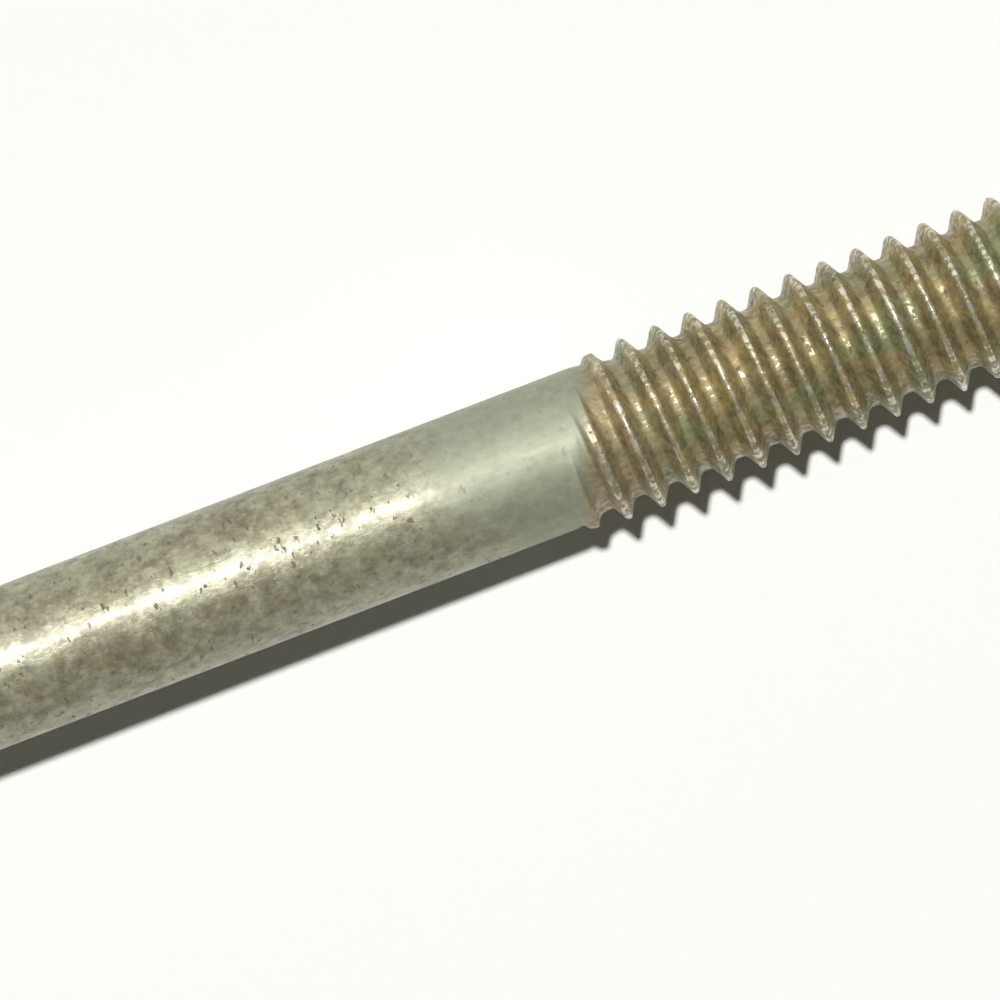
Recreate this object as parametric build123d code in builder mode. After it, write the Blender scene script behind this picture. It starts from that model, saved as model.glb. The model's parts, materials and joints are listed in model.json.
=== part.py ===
"""A bed screw: plain hexagon head, slim unthreaded shank and a rolled 1/4-20 machine thread.

Millimetres. The screw lies as it comes to rest on a level surface, on one flat of its head
and on the last whole turn of its thread, so its axis dips a little towards the point.
The origin is the centre of the bearing face under the head, +X runs towards the point
and +Z is up.
"""

import os
from math import atan, ceil, cos, degrees, pi, radians, tan

from build123d import *

# Thread, to the unified form, right-handed with one start, and its chamfered point.
thread_diameter = 6.12
thread_depth = 0.65
thread_pitch = 1.27
thread_length = 25.4
thread_angle = 60.0
runout_turns = 2.0
point_diameter = 4.3
point_angle = 45.0

# Shank, of the slim stock that the thread is rolled from.
shank_diameter = 5.42
screw_length = 101.6
underhead_radius = 0.5

# Head, with the raised washer face that bears on the work.
head_across_flats = 11.11
head_height = 4.1
head_top_diameter = 10.4
head_chamfer_angle = 30.0
washer_face_diameter = 10.3
washer_face_height = 0.3

# Rolling has filled the crests to a narrow flat and left the root wider than they are. The
# widths of the crest and of each flank are along the axis.
crest_radius = thread_diameter / 2
root_radius = crest_radius - thread_depth
crest_width = thread_pitch / 10
flank_width = thread_depth * tan(radians(thread_angle / 2))

shank_radius = shank_diameter / 2
point_radius = point_diameter / 2
thread_start = screw_length - thread_length
runout_end = thread_start + runout_turns * thread_pitch

# Bodies run this far into each other before they are fused, and trimming bodies stand this
# far proud of what they leave whole. The core is what lies safely inside the root.
overlap = thread_pitch / 4
core_radius = root_radius - overlap / 2
blank_radius = crest_radius + overlap

# The tilt at rest, from the near edge of the head's flat to the last turn that the chamfer
# of the point leaves whole.
point_slope = tan(radians(point_angle))
last_whole_turn = screw_length - (crest_radius - point_radius) / point_slope - thread_pitch / 2
flat_edge = -washer_face_height
rest_tilt = degrees(atan((head_across_flats / 2 - crest_radius) / (last_whole_turn - flat_edge)))

# The side plane stands on the tilted axis. Its x is the distance along the screw from the
# bearing face and its y the radius, so it holds the outline of everything that is turned.
side = Plane.XZ.rotated((0, rest_tilt, 0))
screw_axis = Axis(side.origin, side.x_dir)


def on_axis(distance):
    """The point of the axis at a distance from the bearing face."""
    return side.from_local_coords((distance, 0, 0))


def square_plane(distance):
    """The plane square to the axis at a distance, facing the point, with its x level."""
    return Plane(on_axis(distance), x_dir=(0, 1, 0), z_dir=side.x_dir)


def strand(radius, distance):
    """One turn of a helix of the thread's pitch, which starts beside the axis at a distance."""
    helix = Edge.make_helix(thread_pitch, thread_pitch, radius)
    return square_plane(distance).from_local_coords(helix)


# The thread's profile over one pitch, as radius and distance: crest, flank, root and flank.
turn_profile = [
    (crest_radius, 0),
    (crest_radius, crest_width),
    (root_radius, crest_width + flank_width),
    (root_radius, thread_pitch - flank_width),
    (crest_radius, thread_pitch),
]


def turn_surface(start):
    """The faces of one turn, ruled between neighbouring strands of the profile."""
    strands = [strand(radius, start + along) for radius, along in turn_profile]
    return [Face.make_surface_from_curves(a, b) for a, b in zip(strands, strands[1:])]


def turn_end(start):
    """The faces that close a stack of whole turns: a ramp of one turn and the step beside it."""
    core = Edge.make_line(on_axis(start), on_axis(start + thread_pitch))
    ramp = Face.make_surface_from_curves(core, strand(crest_radius, start))
    step = [strand(radius, start + along) @ 0 for radius, along in turn_profile]
    return [ramp, Face(Wire.make_polygon([core @ 0, *step, core @ 1], close=True))]


# Threaded bar: a stack of whole turns that is longer than the thread at both ends. A turn
# starts in the level plane of the axis, and a quarter pitch there brings the crest to the
# underside of the screw just where the thread starts. The outline turned on the bar gives the
# crests that grow out of the shank, the end of the screw and its chamfer.
first_turn = thread_start + thread_pitch / 4 - crest_width / 2 - 2 * thread_pitch
turn_count = ceil((screw_length - first_turn) / thread_pitch) + 1
turn_starts = [first_turn + turn * thread_pitch for turn in range(turn_count + 1)]
bar_start = thread_start - overlap

bar_faces = turn_end(turn_starts[0]) + turn_end(turn_starts[-1])
for turn_start in turn_starts[:-1]:
    bar_faces += turn_surface(turn_start)

with BuildPart() as threaded_bar:
    add(Solid(Shell(bar_faces)))
    with BuildSketch(side):
        with BuildLine():
            Polyline(
                (bar_start, 0),
                (bar_start, core_radius),
                (runout_end, blank_radius),
                (screw_length - (blank_radius - point_radius) / point_slope, blank_radius),
                (screw_length, point_radius),
                (screw_length, 0),
                close=True,
            )
        make_face()
    revolve(axis=screw_axis, mode=Mode.INTERSECT)

# Head: a hexagon that lies on one of its flats, with its outer corners turned off.
corner_radius = head_across_flats / 2 / cos(pi / 6)
top_radius = head_top_diameter / 2
chamfer_height = (corner_radius - top_radius) * tan(radians(head_chamfer_angle))

with BuildPart() as head:
    with BuildSketch(square_plane(-head_height)):
        RegularPolygon(corner_radius, 6)
    extrude(amount=head_height - washer_face_height)
    with BuildSketch(side):
        with BuildLine():
            Polyline(
                (-head_height, 0),
                (-head_height, top_radius),
                (-head_height + chamfer_height, corner_radius),
                (0, corner_radius),
                (0, 0),
                close=True,
            )
        make_face()
    revolve(axis=screw_axis, mode=Mode.INTERSECT)

# Screw: one turned body carries the washer face, the fillet under the head and the shank,
# and tapers inside the thread's run-out from the shank to the core. Head and thread join it.
washer_radius = washer_face_diameter / 2
fillet_end = shank_radius + underhead_radius
fillet_middle = underhead_radius * (1 - cos(radians(45)))

with BuildPart() as bed_screw:
    with BuildSketch(side):
        with BuildLine():
            Polyline(
                (0, fillet_end),
                (0, washer_radius),
                (-washer_face_height - overlap, washer_radius),
                (-washer_face_height - overlap, 0),
                (runout_end, 0),
                (runout_end, core_radius),
                (thread_start, shank_radius),
                (underhead_radius, shank_radius),
            )
            ThreePointArc(
                (underhead_radius, shank_radius),
                (fillet_middle, shank_radius + fillet_middle),
                (0, fillet_end),
            )
        make_face()
    revolve(axis=screw_axis)
    add(head.part)
    add(threaded_bar.part)
bed_screw.part.label = "bed_screw"

os.makedirs("parts", exist_ok=True)
export_step(bed_screw.part, "parts/bed_screw.step")
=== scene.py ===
"""A bed screw in yellow zinc plate: plain hexagon head, drawn shank and rolled thread."""

import json
import math
from collections import namedtuple

import bpy
from bpy.props import (
    FloatProperty,
    FloatVectorProperty,
    IntProperty,
    PointerProperty,
)
from mathutils import Euler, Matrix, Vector


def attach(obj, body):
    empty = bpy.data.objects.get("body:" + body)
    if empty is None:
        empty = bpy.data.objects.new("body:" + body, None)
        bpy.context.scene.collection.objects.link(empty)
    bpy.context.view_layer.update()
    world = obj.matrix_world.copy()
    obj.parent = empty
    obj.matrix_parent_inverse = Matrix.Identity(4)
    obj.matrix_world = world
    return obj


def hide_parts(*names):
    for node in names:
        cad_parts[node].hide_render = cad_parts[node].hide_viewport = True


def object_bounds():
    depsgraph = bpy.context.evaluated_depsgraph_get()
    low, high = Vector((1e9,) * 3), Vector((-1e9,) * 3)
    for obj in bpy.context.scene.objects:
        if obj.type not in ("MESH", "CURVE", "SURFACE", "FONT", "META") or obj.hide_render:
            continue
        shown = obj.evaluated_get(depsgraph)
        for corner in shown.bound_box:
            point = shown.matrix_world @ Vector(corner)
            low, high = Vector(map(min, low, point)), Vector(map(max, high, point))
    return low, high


bl_info = {
    "name": "Bed Screw",
    "version": (1, 0, 0),
    "blender": (4, 5, 0),
    "location": "3D Viewport > Sidebar > Bed Screw",
    "description": "Builds a plated bed screw with a rolled thread, and a plain stage to see it on",
    "category": "Add Mesh",
}

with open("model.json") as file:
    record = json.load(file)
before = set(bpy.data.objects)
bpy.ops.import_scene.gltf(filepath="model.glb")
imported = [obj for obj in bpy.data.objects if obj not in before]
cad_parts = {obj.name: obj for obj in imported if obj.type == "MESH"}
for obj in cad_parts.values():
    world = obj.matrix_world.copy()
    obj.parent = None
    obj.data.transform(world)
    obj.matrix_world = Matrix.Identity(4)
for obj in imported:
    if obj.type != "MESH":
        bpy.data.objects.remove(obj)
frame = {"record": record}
cad_box = [list(corner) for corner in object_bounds()]
mounts = {mount["name"]: mount for mount in frame["record"]["mounts"]}

# The screw's own directions and sizes, as the frame's mounts give them, in metres.
bearing = Vector(mounts["bearing_face"]["pos_m"])
along = Vector(mounts["bearing_face"]["axis"])
tilt = math.atan2(-along.z, along.x)
screw_length = (Vector(mounts["thread"]["pos_m"]) - bearing).length
crest_radius = mounts["thread"]["dims"]["r_mm"] / 1000
thread_length = mounts["thread"]["dims"]["length_mm"] / 1000

MM = 0.001
TURN = 2 * math.pi
SIXTH = TURN / 6

# ---- Thread. A crest leaves the shank at its underside, a quarter pitch on from the side
# where a turn is counted from. The crests start to rise a little before the groove falls.
FLANK_ANGLE = math.radians(30)
CREST_PHASE = 0.25
CREST_LEAD = 0.3 * MM
# The film starts and is whole this many pitches on from the slanting start of the thread.
FILM_SPAN = (0.05, 0.5)
# The rows that follow the helix start this many pitches before the thread.
ROW_LEAD = 1.5
# Shares of the unevenness: the dents, the wear all along the crests, and the ripples.
DENT_SHARE = 1.6
WEAR_SHARE = 0.2
RIPPLE_SHARE = 0.6

# ---- Rows of faces. The hollow of the end face is told from its rim to its middle, in shares
# of its radius and of its depth.
END_OUTLINE = ((1.0, 0.0), (0.93, 0.1), (0.7, 0.7), (0.35, 1.0), (0.0, 1.0))
SHANK_ROWS = 72
HEAD_ROWS = 18
FILLET_ROWS = 4
# The head's columns crowd towards the six corners, by this share of what would bring them
# together, and spread out again between these rows, from the washer face to the fillet.
CROWDING = 0.8
SPREADING_ROWS = (12.0, 15.0)

# Sheets are joined where their edges are this close. Edges look sharp where they bend by more
# than this angle, but only on the head, which ends a little past the bearing face.
MERGE_DISTANCE = 0.002 * MM
SHARP_ANGLE = math.radians(24)
SHARP_REACH = 0.1 * MM
FEWEST_FACES = 1000

# ---- Noises: scale, detail, roughness, seed, and how a place is squeezed along, across and up
# the screw. Those of the shape are in metres and those of the finish in millimetres.
Noise = namedtuple("Noise", "scale detail roughness seed squeeze", defaults=((1.0, 1.0, 1.0),))
RIPPLES = Noise(900.0, 3.0, 0.6, 1.3)
DENTS = Noise(1500.0, 2.0, 0.5, 7.7)
BROAD = Noise(0.55, 3.0, 0.55, 11.0, (0.5, 1.0, 1.0))
PATCHES = Noise(1.5, 4.0, 0.62, 5.0, (0.65, 1.0, 1.0))
BLOTCHES = Noise(3.2, 3.0, 0.6, 13.0, (0.8, 1.0, 1.0))
FLECKS = Noise(3.0, 2.0, 0.55, 17.0, (1.6, 0.8, 0.8))
DRAWN_LINES = Noise(5.5, 3.0, 0.65, 23.0, (0.16, 1.0, 1.0))
HUES = Noise(0.9, 3.0, 0.6, 31.0)
GRIME = Noise(2.4, 4.0, 0.65, 41.0)
BEADS = Noise(5.0, 1.0, 0.5, 53.0, (0.6, 1.0, 1.0))

# ---- Marks: where in its noise, which runs round 0.5, a mark starts to show, where it shows in
# full, and its share of the look there. Pits show the other way round, in full below the first
# number and not above the second. The last three go by the height in the thread, from 0 in the
# groove to 1 on the crest, and the painted shade in the groove shows the other way round too.
Mark = namedtuple("Mark", "low high share", defaults=(1.0,))
DENT_MARK = Mark(0.55, 0.85)
OLIVE = Mark(0.44, 0.60, 0.80)
BROWN = Mark(0.49, 0.60, 0.85)
PITS = Mark(0.30, 0.38, 0.65)
UMBER = Mark(0.38, 0.60)
ROSE = Mark(0.52, 0.66, 0.60)
GREEN = Mark(0.50, 0.62, 0.65)
BRIGHT = Mark(0.48, 0.56)
# Painted shade: the film darkens towards the bottom of the groove.
GROOVE_SHADE = Mark(0.0, 0.5, 0.25)
WORN = Mark(0.72, 0.95, 0.60)
WORN_LACQUER = Mark(0.70, 0.95, 0.50)

# ---- Where the finishes meet, in millimetres along the screw. The head ends here, counted
# from the bearing face.
HEAD_SPAN = (-0.4, 0.6)
# Counted from the start of the thread, the film starts, leaning this far along per millimetre
# across, and its first turns, which have this share of rose, end.
FILMED_SPAN = (-0.6, 0.9)
FILM_LEAN = 0.35
FIRST_TURNS_SPAN = (1.0, 4.0)
FIRST_TURNS_ROSE = 0.3
# Counted from its own edge, which wavers this far, the smooth stretch starts.
SMOOTH_SPAN = (-3.0, 1.0)
SMOOTH_WAVER = 6

# The shares by which the marks are fainter on the smooth stretch and on the head.
FAINTER_SMOOTH = 0.85
FAINTER_HEAD = 0.45
# How strongly the plate is mottled, and how much calmer that is there.
MOTTLING = 1.9
CALMER_SMOOTH = 0.65
CALMER_HEAD = 0.6
LEAST_ROUGHNESS = 0.2
MOST_ROUGHNESS = 0.8

# ---- Stage. The key lamp's slant along the screw, and where its handle stands.
KEY_SLANT = 0.03
KEY_PLACE = (0.05, 0.3, 1.2)
# The reflected sky is brighter behind the screw, and has a soft window there.
SKY_MIDDLE = 0.62
SKY_SLOPE = 0.27
WINDOW_NEAR = Mark(0.0, 0.5)
WINDOW_FAR = Mark(0.65, 1.0)
ROOM_COLOUR = (1.0, 1.0, 0.985, 1)
PAPER_ROUGHNESS = 0.9
SENSOR_WIDTH = 36.0
CLIP = (0.01, 20.0)


# ---------------------------------------------------------------- node trees


class Num:
    """A socket of a node tree that takes part in Python expressions."""

    def __init__(self, net, socket):
        self.net, self.socket = net, socket

    def math(self, operation, *others):
        return self.net.math(operation, self, *others)

    def __add__(self, other):
        return self.math("ADD", other)

    __radd__ = __add__

    def __sub__(self, other):
        return self.math("SUBTRACT", other)

    def __rsub__(self, other):
        return self.net.math("SUBTRACT", other, self)

    def __mul__(self, other):
        return self.math("MULTIPLY", other)

    __rmul__ = __mul__

    def __truediv__(self, other):
        return self.math("DIVIDE", other)

    def __rtruediv__(self, other):
        return self.net.math("DIVIDE", other, self)

    def __pow__(self, other):
        return self.math("POWER", other)

    def __neg__(self):
        return self * -1

    def __abs__(self):
        return self.math("ABSOLUTE")

    def __gt__(self, other):
        return self.math("GREATER_THAN", other)

    def __lt__(self, other):
        return self.math("LESS_THAN", other)

    def least(self, other):
        return self.math("MINIMUM", other)

    def most(self, other):
        return self.math("MAXIMUM", other)

    def soft_least(self, other, reach):
        return self.math("SMOOTH_MIN", other, reach)

    def soft_most(self, other, reach):
        return self.math("SMOOTH_MAX", other, reach)

    def fraction(self):
        return self.math("FRACT")

    def sine(self):
        return self.math("SINE")

    def cosine(self):
        return self.math("COSINE")

    def tangent(self):
        return self.math("TANGENT")

    def ceiling(self):
        return self.math("CEIL")

    def part(self, axis):
        """One number of a place: its X, Y or Z."""
        return self.net.add("ShaderNodeSeparateXYZ", None, {"Vector": self}, axis)

    def ramp(self, low, high, kind="LINEAR"):
        """0 at low and below, 1 at high and above, straight between."""
        settings = {"clamp": True, "interpolation_type": kind}
        return self.net.add(
            "ShaderNodeMapRange", settings, {"Value": self, "From Min": low, "From Max": high}
        )

    def smooth(self, low, high):
        """0 at low and below, 1 at high and above, eased between."""
        return self.ramp(low, high, "SMOOTHSTEP")

    def shows(self, mark):
        """How far a mark shows where this is its noise or its height."""
        return self.smooth(mark.low, mark.high)


class Net:
    """Adds nodes to a node tree."""

    def __init__(self, tree):
        self.tree = tree

    def add(self, kind, settings=None, values=None, output=0):
        """A node of a type, its settings set first, then the values or links of its sockets.

        A list of links goes to a socket that takes many. The result is one of its outputs.
        """
        node = self.tree.nodes.new(kind)
        for name, value in (settings or {}).items():
            setattr(node, name, value)
        for name, value in (values or {}).items():
            if isinstance(value, Num):
                self.tree.links.new(value.socket, node.inputs[name])
            elif isinstance(value, list):
                for each in value:
                    self.tree.links.new(each.socket, node.inputs[name])
            else:
                node.inputs[name].default_value = value
        return Num(self, node.outputs[output]) if len(node.outputs) else None

    def math(self, operation, *values):
        return self.add("ShaderNodeMath", {"operation": operation}, dict(enumerate(values)))

    def point(self, x, y, z):
        return self.add("ShaderNodeCombineXYZ", None, {"X": x, "Y": y, "Z": z})

    def noise(self, place, noise):
        """A noise at a place, from about 0 to 1 round 0.5, the same each time for a seed."""
        squeezed = self.add(
            "ShaderNodeVectorMath", {"operation": "MULTIPLY"}, {0: place, 1: noise.squeeze}
        )
        values = {
            "Vector": squeezed,
            "W": noise.seed,
            "Scale": noise.scale,
            "Detail": noise.detail,
            "Roughness": noise.roughness,
        }
        return self.add("ShaderNodeTexNoise", {"noise_dimensions": "4D"}, values)

    def blend(self, share, first, second, mode="MIX"):
        """Two colours mixed by a share of the second."""
        settings = {"data_type": "RGBA", "blend_type": mode, "clamp_factor": True}
        first, second = (c if isinstance(c, Num) else (*c, 1) for c in (first, second))
        # The node's colour sockets come after those for numbers and vectors of the same names.
        return self.add("ShaderNodeMix", settings, {0: share, 6: first, 7: second}, output=2)


def walk(step, stations):
    """A number that goes through the stations in turn, one for each whole step."""
    total = stations[0]
    for count, (here, there) in enumerate(zip(stations, stations[1:])):
        if here != there:
            total = total + step.ramp(float(count), count + 1.0) * (there - here)
    return total


def weighed(*pairs):
    """The sum of numbers, each times the weight beside it."""
    return sum(number * weight for number, weight in pairs)


def empty_net(tree):
    """A net on a node tree, cleared of the nodes that it came with."""
    tree.nodes.clear()
    return Net(tree)


# ---------------------------------------------------------------- properties


def distance(name, description, default, low=0.0, high=1.0):
    return FloatProperty(
        name=name, description=description, default=default, min=low, max=high,
        subtype="DISTANCE", unit="LENGTH", precision=6,
    )


def angle(name, description, degrees):
    return FloatProperty(
        name=name, description=description, default=math.radians(degrees), subtype="ANGLE"
    )


def colour(name, description, default):
    return FloatVectorProperty(
        name=name, description=description, default=default,
        size=3, min=0.0, max=1.0, subtype="COLOR",
    )


def share(name, description, default):
    return FloatProperty(
        name=name, description=description, default=default, min=0.0, max=1.0, subtype="FACTOR"
    )


def amount(name, description, default, low=0.0):
    return FloatProperty(name=name, description=description, default=default, min=low)


class ThreadSizes(bpy.types.PropertyGroup):
    """Sizes of the rolled thread and of the point."""

    outer_radius: distance("Outer Radius", "Radius over the crests", crest_radius)
    root_radius: distance(
        "Root Radius", "Radius at the bottom of the groove", crest_radius - 0.65 * MM
    )
    pitch: distance("Pitch", "Distance from one crest to the next", 1.27 * MM)
    crest_width: distance("Crest Width", "Width of the flat on each crest", 0.13 * MM)
    crest_rounding: distance(
        "Crest Rounding", "Reach of the rounding between crest and flanks", 0.10 * MM
    )
    root_rounding: distance(
        "Root Rounding", "Reach of the rounding between root and flanks", 0.28 * MM
    )
    length: distance(
        "Thread Length", "Length from the start of the thread to the point", thread_length
    )
    start_lean: distance(
        "Start Lean", "How far the start of the thread leans from square", 0.90 * MM
    )
    crest_turns: amount("Crest Turns", "Turns until the crests stand at full height", 2.0, 0.1)
    root_turns: amount("Root Turns", "Turns until the groove has its full depth", 1.3, 0.1)
    point_radius: distance("Point Radius", "Radius of the end face", 2.15 * MM)
    end_cup: distance(
        "End Cup", "Depth of the hollow that rolling leaves in the end face", 0.15 * MM
    )
    unevenness: distance(
        "Unevenness", "Height of the dents and ripples in the thread", 0.035 * MM
    )
    rows: IntProperty(
        name="Rows", description="Rows of faces in each pitch", default=22, min=8, max=32
    )


class ShankSizes(bpy.types.PropertyGroup):
    """Sizes of the smooth shank."""

    radius: distance("Shank Radius", "Radius of the smooth shank", 2.71 * MM)
    fillet: distance("Fillet", "Radius of the fillet under the head", 0.5 * MM)
    length: distance(
        "Screw Length", "Length from the bearing face to the end of the point", screw_length
    )
    segments: IntProperty(
        name="Segments", description="Faces round the screw, a multiple of six", default=120
    )


class HeadSizes(bpy.types.PropertyGroup):
    """Sizes of the hexagon head."""

    across_flats: distance("Across Flats", "Distance between two opposite flats", 11.11 * MM)
    height: distance("Head Height", "Height of the head with its washer face", 4.1 * MM)
    top_radius: distance(
        "Top Radius", "Radius of the circle where the chamfer meets the top", 5.2 * MM
    )
    chamfer: angle("Chamfer", "Angle of the chamfer on the corners", 30)
    washer_radius: distance("Washer Face Radius", "Radius of the washer face", 5.15 * MM)
    washer_height: distance("Washer Face Height", "Height of the washer face", 0.3 * MM)
    edge: distance("Edge Rounding", "Width of the rounding on the edges", 0.12 * MM)
    corner: distance("Corner Rounding", "Reach of the rounding on the upright corners", 0.5 * MM)


class PlateFinish(bpy.types.PropertyGroup):
    """Colours and surface of the yellow zinc plate."""

    plate: colour("Plate", "Colour of the clean plate", (0.315, 0.308, 0.208))
    pale: colour(
        "Pale Plate", "Colour of the smooth stretch beside the thread", (0.325, 0.338, 0.250)
    )
    olive: colour("Olive Stain", "Colour of the olive patches", (0.250, 0.242, 0.140))
    # This brown also paints the shade at the bottom of the groove of the thread.
    brown: colour("Brown Stain", "Colour of the brown stains", (0.205, 0.175, 0.100))
    film: colour("Golden Film", "Colour of the film on the thread", (0.360, 0.284, 0.124))
    umber: colour(
        "Brown Film", "Colour of the thread where the film is thick", (0.235, 0.203, 0.098)
    )
    rose: colour("Rose Film", "Pinkish tint of the film on the thread", (0.370, 0.268, 0.185))
    green: colour("Green Film", "Greenish tint of the film on the thread", (0.232, 0.272, 0.138))
    worn: colour(
        "Worn Crest", "Colour of the crests where the film has worn off", (0.640, 0.620, 0.530)
    )
    pit: colour("Pit", "Colour of the small pits", (0.110, 0.095, 0.060))
    metallic: share("Metallic", "Share of bare metal in the look of the plate", 0.42)
    film_metallic: share(
        "Film Metallic", "Share of bare metal in the look of the filmed thread", 0.50
    )
    lacquer: share("Lacquer", "Share of the clear chromate film over the plate", 0.50)
    lacquer_roughness: share(
        "Lacquer Roughness", "Roughness of the clear chromate film", 0.33
    )
    roughness: share("Roughness", "Roughness of the clean plate", 0.44)
    pale_roughness: share(
        "Pale Roughness", "Roughness of the smooth stretch beside the thread", 0.64
    )
    stain_roughness: share("Stain Roughness", "Roughness of the stained plate", 0.54)
    smooth_length: distance(
        "Smooth Stretch", "Length of the smooth stretch before the thread", 4.4 * MM
    )
    smooth_lean: amount(
        "Smooth Lean", "Lean of the edge of the smooth stretch, along per across", 0.55, -5.0
    )
    relief: distance("Relief", "Depth of the marks and pits in the surface", 0.02 * MM)


class StageSettings(bpy.types.PropertyGroup):
    """Floor, light and camera."""

    floor: colour("Floor", "Colour of the floor", (0.958, 0.964, 0.93))
    floor_size: distance("Floor Size", "Width of the floor", 8.0, high=20.0)
    key_strength: amount("Key Strength", "Light of the key lamp on a face", 3.05)
    key_height: angle("Key Height", "Angle of the key lamp above the floor", 77.3)
    key_size: angle("Key Size", "Apparent angle of the key lamp", 3.5)
    ambient: amount("Ambient", "Light from all round", 0.07)
    sky: amount("Reflected Sky", "Brightness that the plate reflects", 0.90)
    window: amount("Window", "Brightness of the soft window behind the screw", 0.80)
    view_width: distance("View Width", "Width that the camera shows at the screw", 35.3 * MM)
    view_height: distance("View Height", "Height of the camera above the screw", 0.30)
    view_turn: angle("View Turn", "Angle of the screw in the view", 20.93)
    view_along: distance("View Along", "Where the view is centred along the screw", 73.1 * MM)
    view_across: distance(
        "View Across", "Where the view is centred across the screw", -0.78 * MM, low=-1.0
    )


class BedScrewSettings(bpy.types.PropertyGroup):
    """All settings of the bed screw and its stage."""

    thread: PointerProperty(type=ThreadSizes, name="Thread", description="Sizes of the thread")
    shank: PointerProperty(type=ShankSizes, name="Shank", description="Sizes of the shank")
    head: PointerProperty(type=HeadSizes, name="Head", description="Sizes of the head")
    finish: PointerProperty(
        type=PlateFinish, name="Finish", description="Colours and surface of the plate"
    )
    stage: PointerProperty(
        type=StageSettings, name="Stage", description="Floor, light and camera"
    )


# ---------------------------------------------------------------- shape


def thread_form(net, size, place, turn):
    """The thread's radius at a place along the axis and a share of a turn round it.

    With it come how far the place is threaded, and how high in the thread it lies.
    """
    outer, shank, root = size["Outer Radius"], size["Shank Radius"], size["Root Radius"]
    pitch, unevenness = size["Pitch"], size["Unevenness"]
    round_axis = turn * TURN
    begin = size["Thread Start"] + size["Start Lean"] * round_axis.cosine()

    # The flanks rise towards the nearest crest of the helix.
    phase = (place - size["Thread Start"]) / pitch - turn - CREST_PHASE
    from_crest = abs((phase + 0.5).fraction() - 0.5) * pitch
    flank = outer + (size["Crest Width"] / 2 - from_crest) * (1 / math.tan(FLANK_ANGLE))

    # The crests grow out of the shank, and the groove sinks into it.
    first, whole = FILM_SPAN
    threaded = place.smooth(begin + first * pitch, begin + whole * pitch)
    swept = net.point(place, round_axis.cosine() * outer, round_axis.sine() * outer)
    ripple = net.noise(swept, RIPPLES) - 0.5
    dent = net.noise(swept, DENTS).ramp(DENT_MARK.low, DENT_MARK.high)
    risen = ((place - begin + CREST_LEAD) / (size["Crest Turns"] * pitch)).ramp(0.0, 1.0)
    sunk = ((place - begin) / (size["Root Turns"] * pitch)).ramp(0.0, 1.0)
    crest = outer - (outer - shank) * (1 - risen) ** 2
    crest = crest - threaded * unevenness * (dent * DENT_SHARE + WEAR_SHARE)
    groove = shank - (shank - root) * sunk

    form = flank.soft_least(crest, size["Crest Rounding"])
    form = form.soft_most(groove, size["Root Rounding"])
    form = form.least(crest).most(groove)
    form = form + threaded * ripple * unevenness * RIPPLE_SHARE
    height = (form - root) / (outer - root)
    # The point is chamfered at 45 degrees.
    point = size["Point Radius"] + (size["Screw Length"] - place)
    return form.least(point), threaded, height


def skin(net, rows, segments, form):
    """A sheet of rows along the screw, wrapped round its axis.

    The form takes how far along the sheet and how far round the screw a point is, both from 0
    to 1. It gives the point's radius, place along the axis, angle and named marks, which the
    sheet keeps as attributes.
    """
    sheet = net.add(
        "GeometryNodeMeshGrid", None,
        {"Size X": 1.0, "Size Y": 1.0, "Vertices X": rows + 1, "Vertices Y": segments + 1},
    )
    # The grid is one wide and lies round the origin.
    flat = net.add("GeometryNodeInputPosition")
    radius, place, round_axis, marks = form(flat.part("X") + 0.5, 0.5 - flat.part("Y"))
    for name, value in marks.items():
        sheet = net.add(
            "GeometryNodeStoreNamedAttribute",
            {"data_type": "FLOAT", "domain": "POINT"},
            {"Geometry": sheet, "Name": name, "Value": value},
        )
    spot = net.point(place, radius * round_axis.cosine(), radius * round_axis.sine())
    return net.add("GeometryNodeSetPosition", None, {"Geometry": sheet, "Position": spot})


def thread_skin(net, size, ring):
    """The thread, its rows along the helix and gathered into rings at both ends."""
    pitch, length, per_pitch = size["Pitch"], size["Screw Length"], size["Rows per Pitch"]
    rows = ((length - ring + pitch) / pitch * per_pitch).ceiling()

    def form(row, turn):
        helix = ring - pitch + row * (rows / per_pitch * pitch) + turn * pitch
        place = helix.most(ring).least(length)
        radius, threaded, height = thread_form(net, size, place, turn)
        return radius, place, turn * TURN, {"threaded": threaded, "height": height}

    return skin(net, rows, size["Segments"], form)


def end_skin(net, size):
    """The end face, hollowed a little."""
    rows = len(END_OUTLINE) - 1
    radii, depths = zip(*END_OUTLINE)

    def form(row, turn):
        radius = size["Point Radius"] * walk(row * rows, radii)
        place = size["Screw Length"] - size["End Cup"] * walk(row * rows, depths)
        return radius, place, turn * TURN, {"threaded": 1.0}

    return skin(net, rows, size["Segments"], form)


def shank_skin(net, size, ring):
    """The smooth shank, from the fillet to the ring where the thread's rows start."""

    def form(row, turn):
        place = size["Fillet"] + row * (ring - size["Fillet"])
        return size["Shank Radius"], place, turn * TURN, {}

    return skin(net, SHANK_ROWS, size["Segments"], form)


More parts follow.
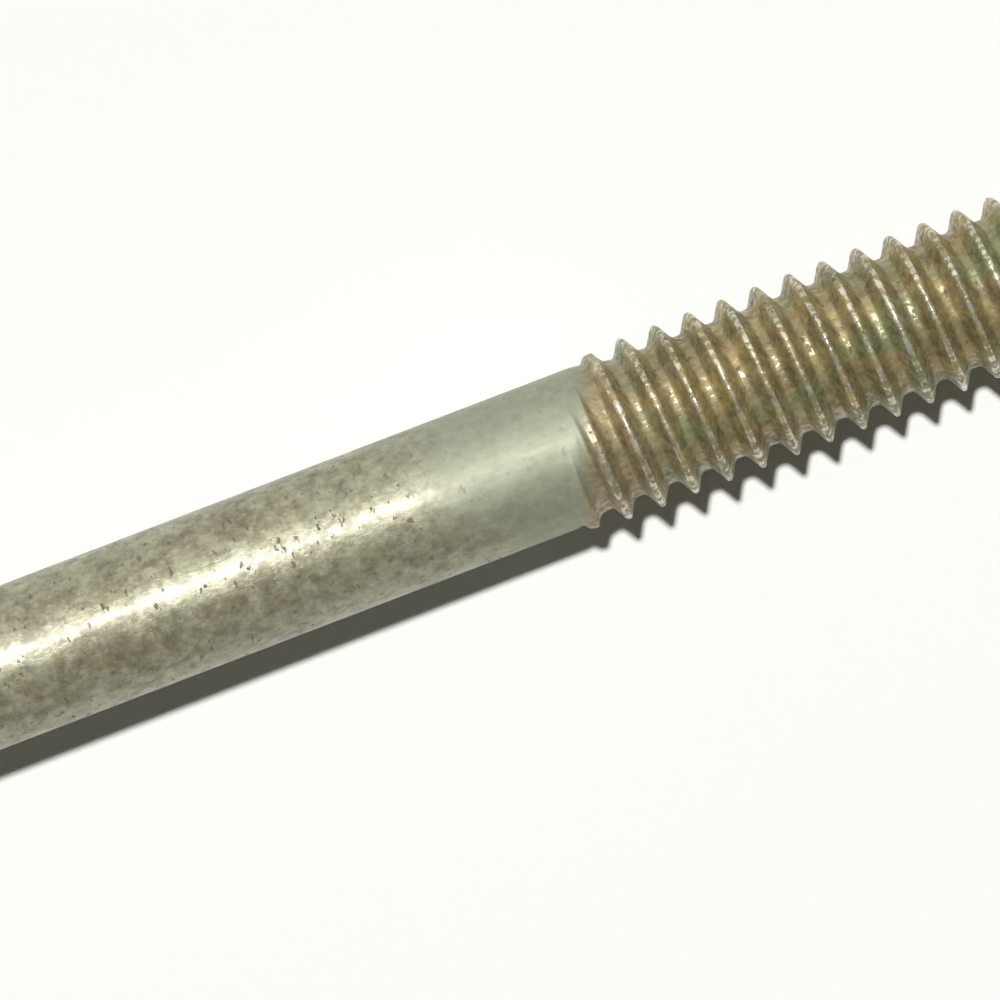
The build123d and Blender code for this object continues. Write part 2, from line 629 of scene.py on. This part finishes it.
def head_skin(net, size):
    """The head, from the middle of its top over flats and washer face into the fillet."""
    half, top_radius, washer = size["Across Flats"] / 2, size["Top Radius"], size["Washer Radius"]
    edge, fillet, slope = size["Edge Rounding"], size["Fillet"], size["Chamfer"].tangent()
    top, seat = -size["Head Height"], -size["Washer Height"]

    def form(row, turn):
        step = row * float(HEAD_ROWS)
        crowding = CROWDING / 6 * (1 - step.ramp(*SPREADING_ROWS))
        round_axis = turn * TURN - (turn * (6 * TURN)).sine() * crowding

        # How far out the hexagon reaches, its corners rounded, and where the chamfer cuts it.
        bend = ((round_axis / SIXTH).fraction() - 0.5) * SIXTH
        near = half / bend.cosine()
        far = half / (SIXTH - abs(bend)).cosine()
        flat = near.soft_least(far, size["Corner Rounding"])
        brim = (flat - top_radius) * slope + top

        # The outline as radius and place, with each edge rounded by shares of its rounding.
        outline = [
            (0.0, top),
            (top_radius * 0.5, top),
            (top_radius - edge, top),
            (top_radius - edge * 0.3, top + edge * 0.1),
            (top_radius + edge * 0.5, top + edge * (0.5 * slope)),
            (flat - edge * 0.7, brim - edge * (0.7 * slope)),
            (flat - edge * 0.2, brim + edge * 0.1),
            (flat, brim + edge * 0.8),
            (flat, seat - edge),
            (flat - edge * 0.3, seat - edge * 0.3),
            (flat - edge, seat),
            (washer + edge * 0.5, seat),
            (washer, seat + edge * 0.4),
            (washer - edge * 0.4, 0.0),
        ]
        for count in range(FILLET_ROWS + 1):
            arc = math.radians(90 * count / FILLET_ROWS)
            radius = size["Shank Radius"] + fillet * (1 - math.sin(arc))
            outline.append((radius, fillet * (1 - math.cos(arc))))
        radii, places = zip(*outline)
        return walk(step, radii), walk(step, places), round_axis, {}

    return skin(net, HEAD_ROWS, size["Segments"], form)


def screw_tree(sizes):
    """The tree that makes the whole screw as one closed skin: head, shank, thread and point."""
    tree = bpy.data.node_groups.new("bed screw form", "GeometryNodeTree")
    tree.interface.new_socket("Geometry", in_out="OUTPUT", socket_type="NodeSocketGeometry")
    for name, value in sizes.items():
        socket = tree.interface.new_socket(name, in_out="INPUT", socket_type="NodeSocketFloat")
        socket.default_value = value
    for name in ("Rows per Pitch", "Segments"):
        tree.interface.new_socket(name, in_out="INPUT", socket_type="NodeSocketInt")
    tree.interface.new_socket("Plate", in_out="INPUT", socket_type="NodeSocketMaterial")
    net = Net(tree)
    given = net.add("NodeGroupInput").socket.node.outputs
    size = {socket.name: Num(net, socket) for socket in given if socket.name}

    # One ring is shared by the shank and the thread.
    ring = size["Thread Start"] - ROW_LEAD * size["Pitch"]
    skins = [head_skin(net, size), shank_skin(net, size, ring)]
    skins += [thread_skin(net, size, ring), end_skin(net, size)]
    whole = net.add("GeometryNodeJoinGeometry", None, {"Geometry": skins})
    whole = net.add(
        "GeometryNodeMergeByDistance", None, {"Geometry": whole, "Distance": MERGE_DISTANCE}
    )

    # All is shaded smooth but the keen edges of the head.
    whole = net.add(
        "GeometryNodeSetShadeSmooth", {"domain": "FACE"}, {"Geometry": whole, "Shade Smooth": True}
    )
    bent = net.add("GeometryNodeInputMeshEdgeAngle")
    place = net.add("GeometryNodeInputPosition").part("X")
    keen = (bent > SHARP_ANGLE) * (place < SHARP_REACH)
    whole = net.add(
        "GeometryNodeSetShadeSmooth", {"domain": "EDGE"},
        {"Geometry": whole, "Selection": keen, "Shade Smooth": False},
    )
    whole = net.add(
        "GeometryNodeTransform", None,
        {"Geometry": whole, "Rotation": Euler((0, tilt, 0)), "Translation": bearing},
    )
    whole = net.add("GeometryNodeRealizeInstances", None, {"Geometry": whole})
    whole = net.add(
        "GeometryNodeSetMaterial", None, {"Geometry": whole, "Material": size["Plate"]}
    )
    net.add("NodeGroupOutput", None, {"Geometry": whole})
    return tree


# ---------------------------------------------------------------- material


def plate_material(finish, thread_start):
    """Yellow zinc plate: stained shank, pale smooth stretch, filmed thread with worn crests."""
    material = bpy.data.materials.new("yellow_zinc_plate")
    material.use_nodes = True
    net = empty_net(material.node_tree)

    # Places on the screw in millimetres, the first along its axis.
    place = net.add(
        "ShaderNodeMapping", {"vector_type": "POINT"},
        {
            "Vector": net.add("ShaderNodeTexCoord", output="Object"),
            "Rotation": Euler((0, -tilt, 0)),
            "Scale": (1 / MM, 1 / MM, 1 / MM),
        },
    )
    along_screw, across = place.part("X"), place.part("Y")
    threaded, height = (
        net.add("ShaderNodeAttribute", {"attribute_name": name}, output="Fac")
        for name in ("threaded", "height")
    )
    broad, patch, blotch, fleck, lines, hue, grime, bead = (
        net.noise(place, noise)
        for noise in (BROAD, PATCHES, BLOTCHES, FLECKS, DRAWN_LINES, HUES, GRIME, BEADS)
    )

    # Where each finish lies. The smooth stretch ends in a slanting edge on the shank, and the
    # marks are faint there and on the head.
    start = thread_start / MM
    edge = start - finish.smooth_length / MM
    filmed = (along_screw - across * FILM_LEAN).smooth(*(start + end for end in FILMED_SPAN))
    filmed = threaded * filmed
    where = along_screw + across * finish.smooth_lean + (broad - 0.5) * SMOOTH_WAVER
    smooth_part = where.smooth(*(edge + end for end in SMOOTH_SPAN)) * (1 - filmed)
    on_head = 1 - along_screw.smooth(*HEAD_SPAN)
    first_turns = 1 - along_screw.smooth(*(start + end for end in FIRST_TURNS_SPAN))
    quiet = 1 - weighed((smooth_part, FAINTER_SMOOTH), (on_head, FAINTER_HEAD))

    # How strongly each mark shows.
    olive = weighed((patch, 0.6), (blotch, 0.4)).shows(OLIVE) * quiet
    brown = weighed((broad, 0.5), (blotch, 0.5)).shows(BROWN) * quiet
    pits = (1 - fleck.shows(PITS)) * quiet
    bright = bead.shows(BRIGHT)
    wear = height.shows(WORN) * bright
    # How far down the groove a place lies, which sets how much shade is painted there.
    low = 1 - height.ramp(GROOVE_SHADE.low, GROOVE_SHADE.high)

    # Their colours, on the bare plate and on the film of the thread.
    body = net.blend(smooth_part, finish.plate, finish.pale)
    body = net.blend(olive * OLIVE.share, body, finish.olive)
    body = net.blend(brown * BROWN.share, body, finish.brown)
    film = net.blend(hue.shows(UMBER), finish.film, finish.umber)
    film = net.blend(patch.shows(ROSE) * ROSE.share, film, finish.rose)
    film = net.blend(broad.shows(GREEN) * GREEN.share, film, finish.green)
    # Painted shade: the film turns towards the stains' brown at the bottom of the groove.
    film = net.blend(low * GROOVE_SHADE.share, film, finish.brown)
    film = net.blend(first_turns * FIRST_TURNS_ROSE, film, finish.rose)
    film = net.blend(wear * WORN.share, film, finish.worn)
    base = net.blend(filmed, body, film)
    base = net.blend(pits * PITS.share, base, finish.pit)
    calm = weighed((smooth_part, CALMER_SMOOTH), (on_head, CALMER_HEAD))
    mottle = 1 + (grime - 0.5) * MOTTLING * (1 - calm)
    grey = net.add(
        "ShaderNodeCombineColor", None, {"Red": mottle, "Green": mottle, "Blue": mottle}
    )
    base = net.blend(1.0, base, grey, mode="MULTIPLY")

    # What each mark adds to the roughness, to the share of bare metal, to the share of the
    # clear coat and to the height of the relief.
    stained = finish.stain_roughness - finish.roughness
    rough = finish.roughness + weighed(
        (smooth_part, finish.pale_roughness - finish.roughness),
        (olive, stained * 0.45),
        (brown, stained * 0.55),
        (pits, 0.25),
        (lines - 0.5, 0.16),
        (grime - 0.5, 0.2),
        (on_head, -0.08),
        (filmed, 0.2),
        (filmed * bright, -0.32),
        (filmed * wear, -0.12),
    )
    metal = finish.metallic + weighed(
        (brown * (1 - wear), -0.1),
        (pits * (1 - wear), -0.3),
        (smooth_part, 0.3),
        (on_head, 0.2),
        (filmed, finish.film_metallic - finish.metallic),
        (filmed * wear, 0.25),
    )
    coat = 1 + weighed(
        (smooth_part, -0.8),
        (filmed, -0.6),
        (filmed * bright, 0.6),
        (filmed * height.shows(WORN_LACQUER), WORN_LACQUER.share),
    )
    spotted = 1 + weighed((grime - 0.5, 3.2), (blotch - 0.5, 3.0), (pits, -0.9))
    relief = weighed(
        ((lines - 0.5) * quiet, 0.5),
        ((patch - 0.5) * quiet, 1.0),
        ((blotch - 0.5) * quiet, 0.9),
        ((grime - 0.5) * quiet, 0.9),
        ((grime - 0.5) * quiet * filmed, 0.4),
        (broad - 0.5, 1.2),
        (pits, -0.7),
    )
    bump = net.add(
        "ShaderNodeBump", None, {"Strength": 1.0, "Distance": finish.relief, "Height": relief}
    )
    shader = net.add(
        "ShaderNodeBsdfPrincipled", None,
        {
            "Base Color": base,
            "Roughness": rough.most(LEAST_ROUGHNESS).least(MOST_ROUGHNESS),
            "Metallic": metal,
            "Normal": bump,
            "Coat Weight": finish.lacquer * coat * spotted,
            "Coat Roughness": finish.lacquer_roughness,
        },
    )
    net.add("ShaderNodeOutputMaterial", None, {"Surface": shader})
    return material


def floor_material(stage):
    """Plain matt paper."""
    material = bpy.data.materials.new("floor_paper")
    material.use_nodes = True
    net = empty_net(material.node_tree)
    paper = net.add(
        "ShaderNodeBsdfPrincipled", None,
        {
            "Base Color": (*stage.floor, 1),
            "Roughness": PAPER_ROUGHNESS,
            "Specular IOR Level": 0.0,
        },
    )
    net.add("ShaderNodeOutputMaterial", None, {"Surface": paper})
    return material


def room_world(stage):
    """A white room: what is seen or reflected is bright, and what lights the floor is faint."""
    world = bpy.data.worlds.new("white room")
    world.use_nodes = True
    net = empty_net(world.node_tree)
    seen, glossy, passed = (
        net.add("ShaderNodeLightPath", output=ray)
        for ray in ("Is Camera Ray", "Is Glossy Ray", "Is Transmission Ray")
    )
    behind = net.add("ShaderNodeTexCoord", output="Generated").part("Y")
    window = behind.shows(WINDOW_NEAR) * (1 - behind.shows(WINDOW_FAR))
    sky = stage.sky * (SKY_MIDDLE + behind * SKY_SLOPE) + stage.window * window
    strength = stage.ambient + (sky - stage.ambient) * glossy.most(passed)
    strength = strength + (1 - strength) * seen
    background = net.add(
        "ShaderNodeBackground", None, {"Color": ROOM_COLOUR, "Strength": strength}
    )
    net.add("ShaderNodeOutputWorld", None, {"Surface": background})
    return world


# ---------------------------------------------------------------- operators


class BEDSCREW_OT_screw(bpy.types.Operator):
    """Make the bed screw in its place on the frame"""

    bl_idname = "bedscrew.screw"
    bl_label = "Make Screw"
    bl_options = {"REGISTER", "UNDO"}

    def execute(self, context):
        settings = context.scene.bed_screw
        thread, shank, head = settings.thread, settings.shank, settings.head
        if shank.segments % 6:
            raise ValueError("the segments have to be a multiple of six")
        thread_start = shank.length - thread.length
        sizes = {
            "Screw Length": shank.length,
            "Thread Start": thread_start,
            "Outer Radius": thread.outer_radius,
            "Root Radius": thread.root_radius,
            "Shank Radius": shank.radius,
            "Point Radius": thread.point_radius,
            "End Cup": thread.end_cup,
            "Pitch": thread.pitch,
            "Crest Width": thread.crest_width,
            "Crest Rounding": thread.crest_rounding,
            "Root Rounding": thread.root_rounding,
            "Start Lean": thread.start_lean,
            "Crest Turns": thread.crest_turns,
            "Root Turns": thread.root_turns,
            "Unevenness": thread.unevenness,
            "Fillet": shank.fillet,
            "Across Flats": head.across_flats,
            "Head Height": head.height,
            "Top Radius": head.top_radius,
            "Chamfer": head.chamfer,
            "Washer Radius": head.washer_radius,
            "Washer Height": head.washer_height,
            "Edge Rounding": head.edge,
            "Corner Rounding": head.corner,
        }
        plate = plate_material(settings.finish, thread_start)
        tree = screw_tree(sizes)
        given = sizes | {
            "Rows per Pitch": thread.rows, "Segments": shank.segments, "Plate": plate
        }

        # The tree works on a blank, and its result is kept as a plain mesh.
        blank = bpy.data.objects.new("screw_blank", bpy.data.meshes.new("screw_blank"))
        context.scene.collection.objects.link(blank)
        former = blank.modifiers.new("form", "NODES")
        former.node_group = tree
        for item in tree.interface.items_tree:
            if item.in_out == "INPUT":
                former[item.identifier] = given[item.name]
        depsgraph = context.evaluated_depsgraph_get()
        mesh = bpy.data.meshes.new_from_object(blank.evaluated_get(depsgraph))
        blank.modifiers.clear()
        bpy.data.objects.remove(blank)
        if len(mesh.polygons) < FEWEST_FACES:
            raise RuntimeError("the screw came out without its faces")

        mesh.name = "plated_bed_screw"
        piece = bpy.data.objects.new("plated_bed_screw", mesh)
        context.scene.collection.objects.link(piece)
        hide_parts("bed_screw")
        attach(piece, "root")
        return {"FINISHED"}


class BEDSCREW_OT_stage(bpy.types.Operator):
    """Set the floor, the light and the camera"""

    bl_idname = "bedscrew.stage"
    bl_label = "Set Stage"
    bl_options = {"REGISTER", "UNDO"}

    def execute(self, context):
        scene, stage = context.scene, context.scene.bed_screw.stage
        level, half = cad_box[0][2], stage.floor_size / 2
        corners = [
            (-half, -half, level), (half, -half, level), (half, half, level), (-half, half, level)
        ]
        mesh = bpy.data.meshes.new("floor")
        mesh.from_pydata(corners, [], [(0, 1, 2, 3)])
        mesh.materials.append(floor_material(stage))
        floor = bpy.data.objects.new("floor", mesh)
        scene.collection.objects.link(floor)

        sun = bpy.data.lights.new("key", "SUN")
        sun.energy, sun.angle = stage.key_strength, stage.key_size
        key = bpy.data.objects.new("key", sun)
        down = Vector((KEY_SLANT, -1 / math.tan(stage.key_height), -1))
        key.rotation_euler = down.to_track_quat("-Z", "Y").to_euler()
        key.location = KEY_PLACE
        scene.collection.objects.link(key)
        scene.world = room_world(stage)

        lens = bpy.data.cameras.new("camera")
        lens.sensor_width, lens.sensor_fit = SENSOR_WIDTH, "HORIZONTAL"
        lens.lens = lens.sensor_width * stage.view_height / stage.view_width
        lens.clip_start, lens.clip_end = CLIP
        camera = bpy.data.objects.new("camera", lens)
        aim = bearing + along * stage.view_along
        camera.location = (aim.x, aim.y + stage.view_across, aim.z + stage.view_height)
        camera.rotation_euler = (0, 0, -stage.view_turn)
        scene.collection.objects.link(camera)
        scene.camera = camera
        scene.view_settings.view_transform = "Standard"
        return {"FINISHED"}


class BEDSCREW_PT_panel(bpy.types.Panel):
    """Settings and steps of the bed screw"""

    bl_idname = "BEDSCREW_PT_panel"
    bl_label = "Bed Screw"
    bl_space_type = "VIEW_3D"
    bl_region_type = "UI"
    bl_category = "Bed Screw"

    def draw(self, context):
        settings = context.scene.bed_screw
        for title, group, step in (
            ("Thread", settings.thread, None),
            ("Shank", settings.shank, None),
            ("Head", settings.head, None),
            ("Finish", settings.finish, "bedscrew.screw"),
            ("Stage", settings.stage, "bedscrew.stage"),
        ):
            box = self.layout.box()
            box.label(text=title)
            for name in group.bl_rna.properties.keys():
                if name not in ("rna_type", "name"):
                    box.prop(group, name)
            if step:
                box.operator(step)


classes = (
    ThreadSizes,
    ShankSizes,
    HeadSizes,
    PlateFinish,
    StageSettings,
    BedScrewSettings,
    BEDSCREW_OT_screw,
    BEDSCREW_OT_stage,
    BEDSCREW_PT_panel,
)


def register():
    for cls in classes:
        bpy.utils.register_class(cls)
    bpy.types.Scene.bed_screw = PointerProperty(type=BedScrewSettings)


def unregister():
    del bpy.types.Scene.bed_screw
    for cls in reversed(classes):
        bpy.utils.unregister_class(cls)


def main():
    register()
    bpy.ops.bedscrew.screw()
    bpy.ops.bedscrew.stage()


if __name__ == "__main__":
    main()
